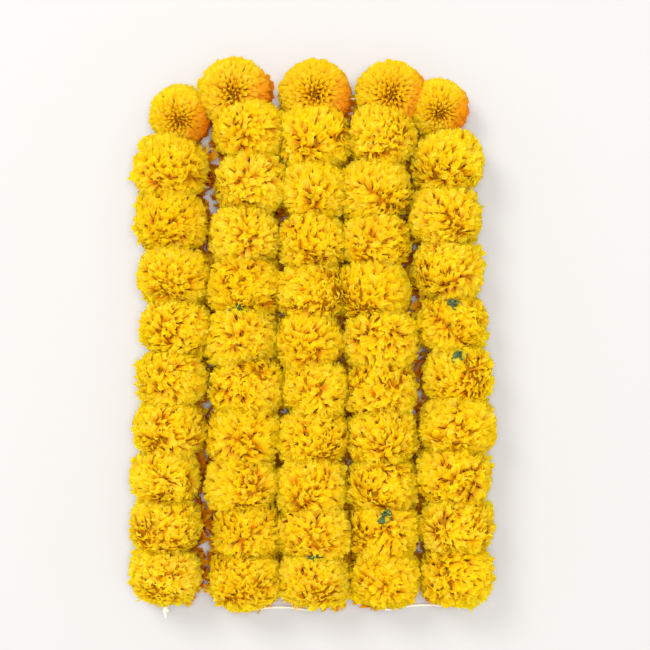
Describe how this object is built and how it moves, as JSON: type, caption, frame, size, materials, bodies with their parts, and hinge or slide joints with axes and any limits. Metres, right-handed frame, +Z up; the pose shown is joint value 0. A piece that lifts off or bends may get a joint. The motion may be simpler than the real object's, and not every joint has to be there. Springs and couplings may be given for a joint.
{
  "type": "marigold garland",
  "caption": "Full yellow marigold blooms threaded on one long string, laid flat back and forth in runs side by side, with the top bloom of each run face up",
  "frame": {"origin": "the middle of the whole garland's bounding box in X and Y, on the surface that it lies on", "axes": "+Z up from the surface; the five runs lie along Y, and the top blooms, which lie face up, are at the +Y end; +X from run 1 to run 5"},
  "size_m": [0.352, 0.5302, 0.071],
  "materials": {
    "marigold_petals": "thin matt petals, deep yellow, paler at the edges and orange at the roots",
    "calyx_green": "matt green calyx at the back of each bloom",
    "cotton_string": "twisted matt cotton"
  },
  "bodies": {
    "root": {"bloom_1_00": "marigold_petals", "bloom_1_01": "marigold_petals", "bloom_1_02": "marigold_petals", "bloom_1_03": "marigold_petals", "bloom_1_04": "marigold_petals", "bloom_1_05": "marigold_petals", "bloom_1_06": "marigold_petals", "bloom_1_07": "marigold_petals", "bloom_1_08": "marigold_petals", "bloom_1_09": "marigold_petals", "bloom_2_00": "marigold_petals", "bloom_2_01": "marigold_petals", "bloom_2_02": "marigold_petals", "bloom_2_03": "marigold_petals", "bloom_2_04": "marigold_petals", "bloom_2_05": "marigold_petals", "bloom_2_06": "marigold_petals", "bloom_2_07": "marigold_petals", "bloom_2_08": "marigold_petals", "bloom_2_09": "marigold_petals", "bloom_2_10": "marigold_petals", "bloom_3_00": "marigold_petals", "bloom_3_01": "marigold_petals", "bloom_3_02": "marigold_petals", "bloom_3_03": "marigold_petals", "bloom_3_04": "marigold_petals", "bloom_3_05": "marigold_petals", "bloom_3_06": "marigold_petals", "bloom_3_07": "marigold_petals", "bloom_3_08": "marigold_petals", "bloom_3_09": "marigold_petals", "bloom_3_10": "marigold_petals", "bloom_4_00": "marigold_petals", "bloom_4_01": "marigold_petals", "bloom_4_02": "marigold_petals", "bloom_4_03": "marigold_petals", "bloom_4_04": "marigold_petals", "bloom_4_05": "marigold_petals", "bloom_4_06": "marigold_petals", "bloom_4_07": "marigold_petals", "bloom_4_08": "marigold_petals", "bloom_4_09": "marigold_petals", "bloom_4_10": "marigold_petals", "bloom_5_00": "marigold_petals", "bloom_5_01": "marigold_petals", "bloom_5_02": "marigold_petals", "bloom_5_03": "marigold_petals", "bloom_5_04": "marigold_petals", "bloom_5_05": "marigold_petals", "bloom_5_06": "marigold_petals", "bloom_5_07": "marigold_petals", "bloom_5_08": "marigold_petals", "bloom_5_09": "marigold_petals", "string": "cotton_string"}
  },
  "joints": []
}
